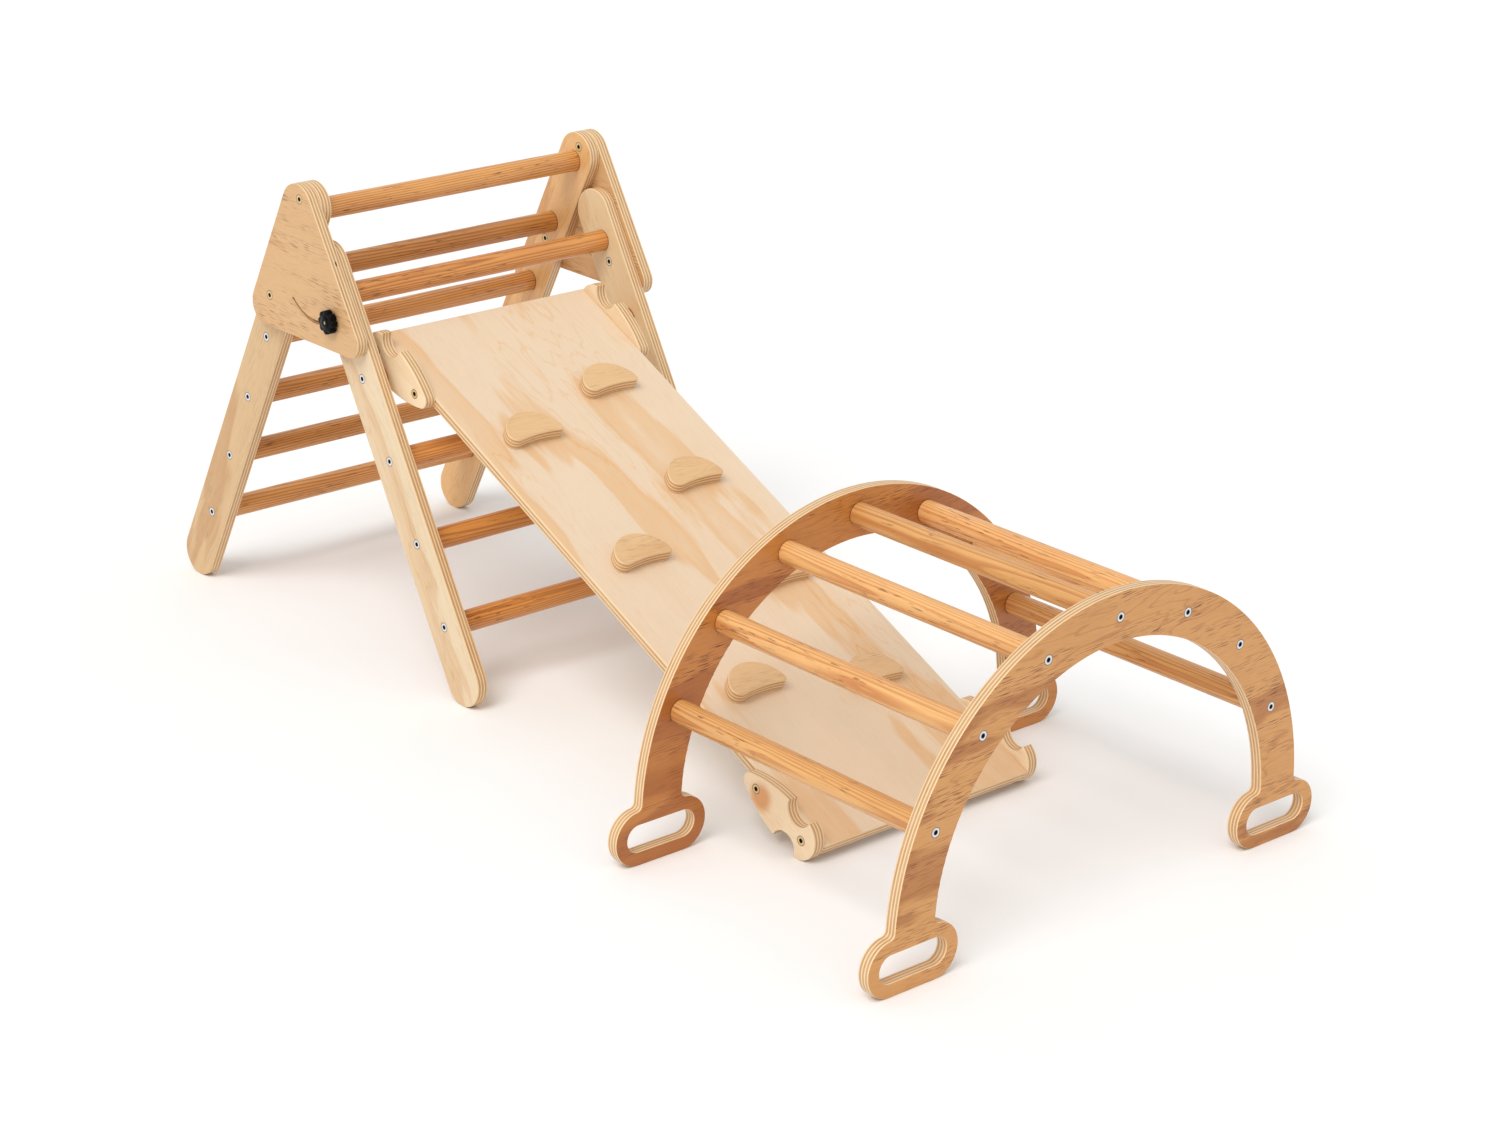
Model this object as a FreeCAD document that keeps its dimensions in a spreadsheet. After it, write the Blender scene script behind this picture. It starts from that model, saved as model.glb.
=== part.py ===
import FreeCAD, Part
import math
import os
import Sketcher
from FreeCAD import Placement, Rotation, Vector

# Children's climbing set in plywood and pine: a folding triangle with rungs, a reversible ramp
# hooked on it, and a rung arch that turned over is a rocker.  Millimetres and degrees, +Z up.
# X runs from the triangle to the arch, and Y across the set from the near side to the far side.
# The origin is on the floor, in the middle of the set's footprint.

doc = FreeCAD.newDocument("ClimbingSet")

SIZES = {
    # sheet and rod stock
    "ply": 18,                 # plywood of rails, gussets, brackets, holds and arch panels
    "board_ply": 15,           # plywood of the ramp board
    "edge_round": 1.5,         # rounding of every cut edge
    "rung_dia": 32,
    "socket_depth": 4,         # how far a rung's end sinks into its side piece
    "socket_gap": 0.2,         # radial gap round a rung's end
    "run_gap": 0.05,           # radial running clearance
    "slide_gap": 0.3,          # play between a moving face and the face beside it
    "set_length": 1721,
    # triangle
    "clear_width": 475,        # between the inner faces of the side rails
    "triangle_shift": 24.7,    # triangle's middle plane from the arch's
    "rail_width": 72,
    "rear_lean": 26.4,         # from upright
    "front_lean": 30.5,
    "apex_height": 653,        # centre of the rear rail's round top
    "rear_rung_first": 9.5,    # along the rail, from the centre of its top
    "rear_rung_pitch": 118.6,
    "front_rung_first": 45,    # along the rail, from the pivot
    "front_rung_pitch": 124.2,
    "rail_gap": 0.8,           # between the rear rail and the front rail's round top
    "pivot_drop": 52,          # pivot's distance down the rear rail from its top centre
    "pin_dia": 10,
    "pin_in_gusset": 10,
    "pin_in_rail": 12,
    # gusset plates
    "gusset_base": 461,        # height of the lower edge
    "gusset_rear_round": 30,
    "gusset_front_round": 22,
    "gusset_overhang": 44,     # front edge, from the front rail's centre line
    "gusset_top_bolt": 16.9,   # up the rear rail from its top centre
    "gusset_low_bolt": 161.8,  # down the rear rail from its top centre
    "slot_radius": 79,
    "slot_width": 6.8,
    "slot_sweep": 74,
    # bolts and inserts
    "head_dia": 14,
    "head_thick": 2.5,
    "shank_dia": 6,
    "bolt_length": 36,
    "bolt_gap": 0.2,           # radial gap round heads and shanks
    "hex_across": 5,
    "hex_deep": 1.8,
    "insert_dia": 10,
    "insert_length": 15,
    "bore_depth": 30,
    "barrel_dia": 9,
    "barrel_length": 26,
    "gusset_bolt_length": 30,
    # clamp knobs
    "knob_dia": 36,
    "knob_thick": 11,
    "knob_lobes": 8,
    "lobe_dia": 10.5,
    "lobe_step": 1,            # lobes stand back from the hub's faces
    "bush_dia": 10,
    "washer_dia": 18,
    "washer_thick": 1.2,
    # ramp
    "ramp_length": 1061,
    "ramp_width": 377,
    "ramp_shift": -16.5,       # ramp's middle plane from the triangle's
    "board_corner": 3,
    "bracket_half": 31.5,      # radius of the bracket's outer end
    "bracket_nose": 138,       # from the outer end to the centre of the inner end's round
    "nose_round": 12,
    "bracket_flank": 185,      # radius of the long edges
    "notch_radius": 22,
    "notch_place": 47,         # centre's distance from the outer end
    "notch_height": 33,        # centre's distance from the middle line
    "end_bolt": 25,
    "nose_bolt": 123,
    "bracket_bolt_length": 44,
    # climbing holds
    "hold_far_first": 202,     # from the ramp's upper end
    "hold_far_pitch": 211,
    "hold_far_side": 82,       # from the board's middle
    "hold_near_first": 259,
    "hold_near_pitch": 265,
    "hold_near_side": -99,
    "hold_crown": 47,          # radius of the upper edge
    "hold_hollow": 200,        # radius of the lower edge
    "hold_heel": 13,           # corner radii, and the corners' places from the hold's own
    "heel_down": 5,
    "heel_side": 33,
    "hold_tip": 6.5,
    "tip_down": 10,
    "tip_side": 40,
    "screw_dia": 4,
    "screw_head": 8,
    "screw_length": 28,
    "screw_spread": 22,
    # arch
    "arch_length": 484,
    "arch_radius": 332.6,      # rung centres
    "arch_band": 67,           # width of the curved band
    "arch_centre": 67,         # height of the curve's centre
    "arch_step": 22.2,         # between rungs
    "foot_round": 38,
    "foot_half": 37.5,         # from the foot's middle to the centre of each round end
    "loop_round": 19,
    "ankle_round": 8,          # hollow between band and foot
}
sheet = doc.addObject("Spreadsheet::Sheet", "Size")
for row, (alias, size) in enumerate(SIZES.items(), start=1):
    sheet.set(f"A{row}", alias.replace("_", " "))
    sheet.set(f"B{row}", str(size))
    sheet.setAlias(f"B{row}", alias)
doc.recompute()

# Places that follow from the sizes.  Each may use the ones above it.
DERIVED = {
    "inner": "clear_width / 2",
    "outer": "clear_width / 2 + ply",
    "skin": "clear_width / 2 + 2 * ply",
    "front_ply": "ply - slide_gap",
    "foot_z": "rail_width / 2",
    "rear_foot_x": "rail_width / 2 - set_length / 2",
    "apex_x": "rear_foot_x + (apex_height - foot_z) * tan(rear_lean)",
    "rail_step": "rail_width + rail_gap",
    "pivot_x": "apex_x - pivot_drop * sin(rear_lean) + rail_step * cos(rear_lean)",
    "pivot_z": "apex_height - pivot_drop * cos(rear_lean) - rail_step * sin(rear_lean)",
    "front_foot_x": "pivot_x + (pivot_z - foot_z) * tan(front_lean)",
    "rear_corner_z": "gusset_base + gusset_rear_round",
    "rear_corner_x": "apex_x - (apex_height - rear_corner_z) * tan(rear_lean)"
                     " - (rail_width / 2 - gusset_rear_round) / cos(rear_lean)",
    "front_corner_z": "gusset_base + gusset_front_round",
    "front_corner_x": "pivot_x + (pivot_z - front_corner_z) * tan(front_lean)"
                      " + (gusset_overhang - gusset_front_round) / cos(front_lean)",
    "frame_rung": "clear_width + 2 * socket_depth",
    "washer_face": "skin + slide_gap + washer_thick",
    "knob_face": "washer_face + slide_gap",
    "clamp_length": "knob_face + knob_thick - 1 - inner",
    # The ramp hangs on its rung at the top of the notches, and its lower brackets stand on the
    # floor, which together set its slope.
    "hook_x": "pivot_x + (front_rung_first + front_rung_pitch) * sin(front_lean)",
    "hook_z": "pivot_z - (front_rung_first + front_rung_pitch) * cos(front_lean)",
    "bracket_top": "notch_height - notch_radius",
    "hook_rise": "bracket_top + rung_dia / 2 + slide_gap",
    "ramp_reach": "ramp_length - notch_place - bracket_half",
    "ramp_slope": "atan(hook_rise / ramp_reach)"
                  " + asin((hook_z - bracket_half) / sqrt(ramp_reach^2 + hook_rise^2))",
    "ramp_x": "hook_x - notch_place * cos(ramp_slope) + hook_rise * sin(ramp_slope)",
    "ramp_y": "triangle_shift + ramp_shift",
    "ramp_z": "hook_z + notch_place * sin(ramp_slope) + hook_rise * cos(ramp_slope)",
    "board_side": "ramp_width / 2",
    "bracket_face": "ramp_width / 2 + ply",
    "arch_far_x": "set_length / 2",
    "arch_near_x": "set_length / 2 - arch_length",
    "arch_outside": "arch_radius + arch_band / 2",
    "arch_inside": "arch_radius - arch_band / 2",
    "arch_rung": "arch_length - 2 * ply + 2 * socket_depth",
}
places = doc.addObject("App::VarSet", "Place")


def bound(words):
    """Expression for FreeCAD: every size or place in the words gets its object's name."""
    parts = []
    word = ""
    for letter in words + " ":
        if letter.isalnum() or letter in "_.":
            word += letter
            continue
        if word in SIZES:
            word = "Size." + word
        elif word in DERIVED:
            word = "Place." + word
        parts.append(word + letter)
        word = ""
    return "".join(parts).strip()


for name, words in DERIVED.items():
    places.addProperty("App::PropertyFloat", name, "Places")
    places.setExpression(name, bound(words))
doc.recompute()


def value(words):
    """Number that an expression gives."""
    result = sheet.evalExpression(bound(words))
    return float(getattr(result, "Value", result))


def on_rear(along):
    """Place on the rear rail's centre line, a distance down from the centre of its top."""
    return (f"apex_x - ({along}) * sin(rear_lean)", f"apex_height - ({along}) * cos(rear_lean)")


def on_front(along):
    """Place on the front rail's centre line, a distance down from the pivot."""
    return (f"pivot_x + ({along}) * sin(front_lean)", f"pivot_z - ({along}) * cos(front_lean)")


REAR_RUNGS = [on_rear(f"rear_rung_first + {k} * rear_rung_pitch") for k in range(6)]
FRONT_RUNGS = [on_front(f"front_rung_first + {k} * front_rung_pitch") for k in range(5)]
GUSSET_BOLTS = [on_rear("-gusset_top_bolt"), on_rear("gusset_low_bolt")]
CLAMP = on_front("slot_radius")
PIVOT = ("pivot_x", "pivot_z")
SIDES = {"near": -1, "far": 1}
AXIS_X = Vector(1, 0, 0)
AXIS_Y = Vector(0, 1, 0)
AXIS_Z = Vector(0, 0, 1)


# ---------------------------------------------------------------- drawing helpers
def place(piece, x="0", y="0", z="0", axis=AXIS_Y, angle="0"):
    """Put a piece where expressions say, turned by an angle about an axis."""
    piece.Placement = Placement(Vector(value(x), value(y), value(z)), Rotation(axis, value(angle)))
    piece.setExpression("Placement.Base.x", bound(x))
    piece.setExpression("Placement.Base.y", bound(y))
    piece.setExpression("Placement.Base.z", bound(z))
    if angle in DERIVED:
        piece.setExpression("Placement.Rotation.Angle", bound(angle))
    return piece


def new_body(label):
    piece = doc.addObject("PartDesign::Body", label)
    piece.Label = label
    return piece


def sketch_on(piece, role, lift="0"):
    """New sketch on one of the body's own origin planes, or lifted off it."""
    sketch = piece.newObject("Sketcher::SketchObject", f"{piece.Label}_sketch")
    plane = [item for item in piece.Origin.OriginFeatures if item.Role == role][0]
    sketch.AttachmentSupport = (plane, "")
    sketch.MapMode = "FlatFace"
    if lift != "0":
        sketch.AttachmentOffset = Placement(Vector(0, 0, value(lift)), Rotation())
        sketch.setExpression("AttachmentOffset.Base.z", bound(lift))
    return sketch


def bind(sketch, words, *parts):
    """Add a constraint whose size follows an expression."""
    index = sketch.addConstraint(Sketcher.Constraint(*parts, value(words)))
    sketch.setExpression(f"Constraints[{index}]", bound(words))


def bind_centre(sketch, geo, x, y):
    bind(sketch, x, "DistanceX", -1, 1, geo, 3)
    bind(sketch, y, "DistanceY", -1, 1, geo, 3)


def add_circle(sketch, x, y, radius):
    centre = Vector(value(x), value(y), 0)
    geo = sketch.addGeometry(Part.Circle(centre, AXIS_Z, value(radius)))
    bind(sketch, radius, "Radius", geo)
    bind_centre(sketch, geo, x, y)


def arc_between(centre, radius, begin, finish):
    """Counter-clockwise arc about a centre."""
    first = math.atan2(begin.y - centre.y, begin.x - centre.x)
    last = math.atan2(finish.y - centre.y, finish.x - centre.x)
    if last < first:
        last += 2 * math.pi
    return Part.ArcOfCircle(Part.Circle(centre, AXIS_Z, radius), first, last)


def link_hub(start, start_round, end, end_round, radius, side):
    """Centre of the arc that touches two corner arcs, left of the way between them if side is 1."""
    near = abs(radius - start_round)
    far = abs(radius - end_round)
    step = end - start
    along = (step.Length ** 2 + near ** 2 - far ** 2) / (2 * step.Length)
    aside = math.sqrt(near ** 2 - along ** 2)
    left = Vector(-step.y, step.x, 0).normalize()
    return start + step.normalize() * along + left * (aside * side)


def outline(sketch, corners):
    """Closed smooth outline, counter-clockwise, of corner arcs and the links between them.

    A corner is (x, y, radius, link, side).  Its radius is negative where the outline is hollow.
    The link to the next corner is None for a straight line, or an arc's radius, negative if
    hollow, and side is 1 if that arc's centre lies left of the way to the next corner, else -1.
    """
    rounds = [(Vector(value(x), value(y), 0), value(radius)) for x, y, radius, link, side in corners]
    leave = []
    reach = []
    hubs = []
    for k, (start, start_round) in enumerate(rounds):
        end, end_round = rounds[(k + 1) % len(rounds)]
        link, side = corners[k][3:]
        if link is None:
            step = end - start
            turn = math.asin((end_round - start_round) / step.Length)
            step.normalize()
            normal = Vector(step.y, -step.x, 0) * math.cos(turn) - step * math.sin(turn)
            leave.append(start + normal * start_round)
            reach.append(end + normal * end_round)
            hubs.append(None)
        else:
            radius = value(link)
            hub = link_hub(start, start_round, end, end_round, radius, side)
            leave.append(hub + (start - hub) * (radius / (radius - start_round)))
            reach.append(hub + (end - hub) * (radius / (radius - end_round)))
            hubs.append(hub)

    def add_arc(centre, words, begin, finish):
        radius = value(words)
        if radius > 0:
            geo = sketch.addGeometry(arc_between(centre, radius, begin, finish))
            bind(sketch, words, "Radius", geo)
            return geo, 1, 2
        geo = sketch.addGeometry(arc_between(centre, -radius, finish, begin))
        bind(sketch, f"-({words})", "Radius", geo)
        return geo, 2, 1

    pieces = []
    for k, (x, y, words, link, side) in enumerate(corners):
        pieces.append(add_arc(rounds[k][0], words, reach[k - 1], leave[k]))
        bind_centre(sketch, pieces[-1][0], x, y)
        if link is None:
            geo = sketch.addGeometry(Part.LineSegment(leave[k], reach[k]))
            pieces.append((geo, 1, 2))
        else:
            pieces.append(add_arc(hubs[k], link, leave[k], reach[k]))
    for k, (geo, begin, finish) in enumerate(pieces):
        after, start_of_next, end_of_next = pieces[(k + 1) % len(pieces)]
        sketch.addConstraint(Sketcher.Constraint("Tangent", geo, finish, after, start_of_next))


def pad(piece, sketch, length, back=False, middle=False):
    feature = piece.newObject("PartDesign::Pad", f"{piece.Label}_pad")
    feature.Profile = sketch
    feature.setExpression("Length", bound(length))
    feature.Reversed = back
    feature.Midplane = middle
    doc.recompute()


def pocket(piece, sketch, length, back=False):
    """Cut a sketch into the body, and make sure that it does cut."""
    before = piece.Shape.Volume
    feature = piece.newObject("PartDesign::Pocket", f"{piece.Label}_pocket")
    feature.Profile = sketch
    feature.setExpression("Length", bound(length))
    feature.Reversed = back
    doc.recompute()
    if piece.Shape.Volume > before - 0.1:
        raise ValueError(f"a pocket in {piece.Label} cuts nothing")


def round_faces(piece, direction):
    """Round the edges of a plate's two flat faces, which look along a direction."""
    names = []
    for index, face in enumerate(piece.Shape.Faces, start=1):
        flat = face.Surface.TypeId == "Part::GeomPlane"
        if flat and abs(face.normalAt(0, 0).dot(direction)) > 0.999:
            names.append(f"Face{index}")
    solid = piece.Tip
    feature = piece.newObject("PartDesign::Fillet", f"{piece.Label}_edges")
    feature.Base = (solid, names)
    feature.setExpression("Radius", bound("edge_round"))
    doc.recompute()


def cylinder(name, radius, height):
    piece = doc.addObject("Part::Cylinder", name)
    piece.setExpression("Radius", bound(radius))
    piece.setExpression("Height", bound(height))
    return piece


def cut(name, base, tool):
    piece = doc.addObject("Part::Cut", name)
    piece.Label = name
    piece.Base = base
    piece.Tool = tool
    return piece


def fuse(name, *parts):
    piece = doc.addObject("Part::MultiFuse", name)
    piece.Shapes = list(parts)
    return piece


SUBPARTS = []


def keep(piece):
    SUBPARTS.append(piece)
    return piece


def group(label, master, spots):
    """One node of equal solids: a copy of the master at each spot."""
    copies = []
    for number, (x, y, z, axis, angle) in enumerate(spots, start=1):
        copy = doc.addObject("App::Link", f"{label}_{number}")
        copy.LinkedObject = master
        copies.append(place(copy, x, y, z, axis, angle))
    compound = doc.addObject("Part::Compound", label)
    compound.Label = label
    compound.Links = copies
    return keep(compound)


# ---------------------------------------------------------------- hardware masters
# Each master lies along Z, with the face of its head at z = 0 and its shank below.
def headed(name, head_radius, shank_radius, length):
    """Flat head with a hexagon socket, on a plain shank."""
    disc = place(cylinder(f"{name}_head", head_radius, "head_thick"), z="-head_thick")
    shank = place(cylinder(f"{name}_shank", shank_radius, length), z=f"-({length})")
    hexagon = doc.addObject("Part::Prism", f"{name}_hexagon")
    hexagon.Polygon = 6
    hexagon.setExpression("Circumradius", bound("hex_across / 2 / cos(30)"))
    hexagon.setExpression("Height", bound("hex_deep"))
    place(hexagon, z="-hex_deep")
    return cut(name, fuse(f"{name}_solid", disc, shank), hexagon)


def sleeve(name, radius, bore, length):
    outside = place(cylinder(f"{name}_outside", radius, length), z=f"-({length})")
    inside = place(cylinder(f"{name}_inside", bore, length), z=f"-({length})")
    return cut(name, outside, inside)


THREAD = "shank_dia / 2 + run_gap"
rung_bolt = headed("rung_bolt", "head_dia / 2", "shank_dia / 2", "bolt_length")
bracket_bolt = headed("bracket_bolt", "head_dia / 2", "shank_dia / 2", "bracket_bolt_length")
gusset_bolt = headed("gusset_bolt", "head_dia / 2", "shank_dia / 2", "gusset_bolt_length")
clamp_bolt = headed("clamp_bolt", "head_dia / 2", "shank_dia / 2", "clamp_length")
hold_screw = headed("hold_screw", "screw_head / 2", "screw_dia / 2", "screw_length")
insert = sleeve("insert", "insert_dia / 2", THREAD, "insert_length")
washer = sleeve("washer", "washer_dia / 2", "shank_dia / 2 + bolt_gap", "washer_thick")
bush = sleeve("bush", "bush_dia / 2", THREAD, "knob_thick")

# The barrel nut is a headed sleeve, which takes the gusset bolt's thread from its open end.
barrel_blank = headed("barrel_blank", "head_dia / 2", "barrel_dia / 2", "barrel_length")
barrel_bore = cylinder("barrel_bore", THREAD, "barrel_length - hex_deep - 1")
place(barrel_bore, z="-barrel_length")
barrel_nut = cut("barrel_nut", barrel_blank, barrel_bore)

pivot_pin = cylinder("pivot_pin", "pin_dia / 2", "pin_in_gusset + pin_in_rail - 1")


# ---------------------------------------------------------------- triangle: side rails
def rail(label, side, ends, rungs, thick):
    """Plywood bar with round ends.  Its inner face has a socket for each rung, and its outer
    face a sunk hole for each rung's bolt.  It is drawn with its inner face at y = 0."""
    near = side < 0
    piece = new_body(label)
    profile = sketch_on(piece, "XZ_Plane")
    outline(profile, [(x, z, "rail_width / 2", None, 0) for x, z in ends])
    pad(piece, profile, thick, back=not near)
    round_faces(piece, AXIS_Y)
    sockets = sketch_on(piece, "XZ_Plane")
    holes = sketch_on(piece, "XZ_Plane")
    heads = sketch_on(piece, "XZ_Plane", f"({-side}) * {thick}")
    for x, z in rungs:
        add_circle(sockets, x, z, "rung_dia / 2 + socket_gap")
        add_circle(holes, x, z, "shank_dia / 2 + bolt_gap")
        add_circle(heads, x, z, "head_dia / 2 + bolt_gap")
    pocket(piece, sockets, "socket_depth", back=near)
    pocket(piece, holes, thick, back=near)
    pocket(piece, heads, "head_thick", back=not near)
    return piece


def inner_holes(piece, side, spots, hole, thick):
    """Through holes with a seat for a flat head in the inner face."""
    through = sketch_on(piece, "XZ_Plane")
    seats = sketch_on(piece, "XZ_Plane")
    for x, z in spots:
        add_circle(through, x, z, hole)
        add_circle(seats, x, z, "head_dia / 2 + bolt_gap")
    pocket(piece, through, thick, back=side < 0)
    pocket(piece, seats, "head_thick", back=side < 0)


REAR_ENDS = [("apex_x", "apex_height"), ("rear_foot_x", "foot_z")]
FRONT_ENDS = [("front_foot_x", "foot_z"), PIVOT]
for name, side in SIDES.items():
    inner_y = f"triangle_shift + ({side}) * inner"
    rear = rail(f"rear_rail_{name}", side, REAR_ENDS, REAR_RUNGS, "ply")
    inner_holes(rear, side, GUSSET_BOLTS, "barrel_dia / 2 + bolt_gap", "ply")
    keep(place(rear, y=inner_y))

    front = rail(f"front_rail_{name}", side, FRONT_ENDS, FRONT_RUNGS, "front_ply")
    inner_holes(front, side, [CLAMP], "shank_dia / 2 + bolt_gap", "front_ply")
    journal = sketch_on(front, "XZ_Plane", f"({-side}) * front_ply")
    add_circle(journal, *PIVOT, "pin_dia / 2 + run_gap")
    pocket(front, journal, "pin_in_rail", back=side > 0)
    keep(place(front, y=inner_y))


# ---------------------------------------------------------------- triangle: gusset plates
def slot_tool(name, side):
    """Curved slot for the clamp bolt: a slice of a ring about the pivot, with round ends."""
    ring = cylinder(f"{name}_ring", "slot_radius + slot_width / 2", "ply")
    core = cylinder(f"{name}_core", "slot_radius - slot_width / 2", "ply")
    for part in (ring, core):
        part.setExpression("Angle", bound("slot_sweep"))
    start = place(cylinder(f"{name}_start", "slot_width / 2", "ply"), x="slot_radius")
    end = place(cylinder(f"{name}_end", "slot_width / 2", "ply"),
                x="slot_radius * cos(slot_sweep)", y="slot_radius * sin(slot_sweep)")
    tool = fuse(f"{name}_tool", cut(f"{name}_band", ring, core), start, end)
    place(tool, "pivot_x", f"triangle_shift + {'skin' if side > 0 else '-outer'}", "pivot_z")
    upright = Rotation(AXIS_X, 90)
    from_clamp = Rotation(AXIS_Z, value("front_lean - 90 - slot_sweep"))
    tool.Placement = Placement(tool.Placement.Base, upright.multiply(from_clamp))
    return tool


# Triangle with round corners.  It is bolted to the rear rail, and the front rail turns on a pin
# pressed into it.
for name, side in SIDES.items():
    near = side < 0
    plate = new_body(f"gusset_blank_{name}")
    profile = sketch_on(plate, "XZ_Plane")
    outline(profile, [("apex_x", "apex_height", "rail_width / 2", None, 0),
                      ("rear_corner_x", "rear_corner_z", "gusset_rear_round", None, 0),
                      ("front_corner_x", "front_corner_z", "gusset_front_round", None, 0)])
    pad(plate, profile, "ply", back=not near)
    round_faces(plate, AXIS_Y)
    holes = sketch_on(plate, "XZ_Plane")
    heads = sketch_on(plate, "XZ_Plane", f"({-side}) * ply")
    for x, z in GUSSET_BOLTS:
        add_circle(holes, x, z, "barrel_dia / 2 + bolt_gap")
        add_circle(heads, x, z, "head_dia / 2 + bolt_gap")
    pocket(plate, holes, "ply", back=near)
    pocket(plate, heads, "head_thick", back=not near)
    seat = sketch_on(plate, "XZ_Plane")
    add_circle(seat, *PIVOT, "pin_dia / 2")
    pocket(plate, seat, "pin_in_gusset", back=near)
    place(plate, y=f"triangle_shift + ({side}) * outer")
    keep(cut(f"gusset_plate_{name}", plate, slot_tool(f"slot_{name}", side)))


# ---------------------------------------------------------------- rungs
def rung(label, plane, length, x, y, z):
    """Pine dowel with a bore in each end for a threaded insert."""
    piece = new_body(label)
    profile = sketch_on(piece, plane)
    add_circle(profile, "0", "0", "rung_dia / 2")
    pad(piece, profile, length, middle=True)
    for half, back in ((f"{length} / 2", False), (f"-{length} / 2", True)):
        bore = sketch_on(piece, plane, half)
        add_circle(bore, "0", "0", "insert_dia / 2 + run_gap")
        pocket(piece, bore, "bore_depth", back=back)
    keep(place(piece, x, y, z))


for number, (x, z) in enumerate(REAR_RUNGS, start=1):
    rung(f"rear_rung_{number}", "XZ_Plane", "frame_rung", x, "triangle_shift", z)
for number, (x, z) in enumerate(FRONT_RUNGS, start=1):
    rung(f"front_rung_{number}", "XZ_Plane", "frame_rung", x, "triangle_shift", z)


# ---------------------------------------------------------------- triangle: hardware
def on_sides(spots, offset, outwards=1):
    """The same spots on both sides of the triangle, with heads that look outwards or inwards."""
    return [(x, f"triangle_shift + ({side}) * ({offset})", z, AXIS_X, str(-90 * side * outwards))
            for x, z in spots for side in SIDES.values()]


group("rear_rung_bolts", rung_bolt, on_sides(REAR_RUNGS, "outer"))
group("rear_rung_inserts", insert, on_sides(REAR_RUNGS, "frame_rung / 2"))
group("front_rung_bolts", rung_bolt, on_sides(FRONT_RUNGS, "inner + front_ply"))
group("front_rung_inserts", insert, on_sides(FRONT_RUNGS, "frame_rung / 2"))
group("gusset_bolts", gusset_bolt, on_sides(GUSSET_BOLTS, "skin"))
group("gusset_barrel_nuts", barrel_nut, on_sides(GUSSET_BOLTS, "inner", outwards=-1))
group("fold_pivot_pins", pivot_pin, on_sides([PIVOT], "outer - pin_in_rail + 1"))
group("clamp_bolts", clamp_bolt, on_sides([CLAMP], "inner", outwards=-1))
group("knob_washers", washer, on_sides([CLAMP], "washer_face"))


# ---------------------------------------------------------------- clamp knobs
# Moulded star knob: a hub ringed by lobes, on a brass bush that turns on the clamp bolt.
knob_parts = [cylinder("knob_hub", "(knob_dia - lobe_dia) / 2 + 1", "knob_thick")]
for number in range(SIZES["knob_lobes"]):
    turn = f"{number} * 360 / knob_lobes"
    lobe = cylinder(f"knob_lobe_{number}", "lobe_dia / 2", "knob_thick - 2 * lobe_step")
    place(lobe, x=f"(knob_dia - lobe_dia) / 2 * cos({turn})",
          y=f"(knob_dia - lobe_dia) / 2 * sin({turn})", z="lobe_step")
    knob_parts.append(lobe)
knob_bore = cylinder("knob_bore", "bush_dia / 2", "knob_thick")
star_knob = cut("star_knob", fuse("knob_blank", *knob_parts), knob_bore)
clamp_x, clamp_z = CLAMP
for name, side in SIDES.items():
    turned = str(-90 * side)
    face = f"triangle_shift + ({side}) * knob_face"
    tip = f"triangle_shift + ({side}) * (knob_face + knob_thick)"
    group(f"knob_{name}", star_knob, [(clamp_x, face, clamp_z, AXIS_X, turned)])
    group(f"knob_bush_{name}", bush, [(clamp_x, tip, clamp_z, AXIS_X, turned)])


# ---------------------------------------------------------------- ramp
# Ramp pieces are drawn level, with x down the ramp from its upper end, y from its middle plane
# and z from the middle of the board, and are then turned to the slope together.
def on_ramp(piece, y="0"):
    return keep(place(piece, "ramp_x", f"ramp_y + {y}", "ramp_z", AXIS_Y, "ramp_slope"))


BRACKETS = {"upper": "{0}", "lower": "ramp_length - {0}"}
BOLT_SPOTS = [words.format(spot) for words in BRACKETS.values() for spot in ("end_bolt", "nose_bolt")]
HOLDS = [(f"hold_far_first + {k} * hold_far_pitch", "hold_far_side") for k in range(4)]
HOLDS += [(f"hold_near_first + {k} * hold_near_pitch", "hold_near_side") for k in range(3)]
SCREWS = [(x, f"{y} + ({way}) * screw_spread") for x, y in HOLDS for way in (-1, 1)]

# Board with two bores in each long edge at each end, and sunk screw holes in its underside.
board = new_body("ramp_board")
profile = sketch_on(board, "XY_Plane")
ramp_corners = [("ramp_length - board_corner", "board_side - board_corner"),
                ("board_corner", "board_side - board_corner"),
                ("board_corner", "board_corner - board_side"),
                ("ramp_length - board_corner", "board_corner - board_side")]
outline(profile, [(x, y, "board_corner", None, 0) for x, y in ramp_corners])
pad(board, profile, "board_ply", middle=True)
round_faces(board, AXIS_Z)
for side in SIDES.values():
    bores = sketch_on(board, "XZ_Plane", f"({-side}) * board_side")
    for spot in BOLT_SPOTS:
        add_circle(bores, spot, "0", "insert_dia / 2 + run_gap")
    pocket(board, bores, "bore_depth", back=side > 0)
shanks = sketch_on(board, "XY_Plane", "-board_ply / 2")
heads = sketch_on(board, "XY_Plane", "-board_ply / 2")
for x, y in SCREWS:
    add_circle(shanks, x, y, "screw_dia / 2 + run_gap")
    add_circle(heads, x, y, "screw_head / 2 + bolt_gap")
pocket(board, shanks, "board_ply", back=True)
pocket(board, heads, "head_thick", back=True)
on_ramp(board)


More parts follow.
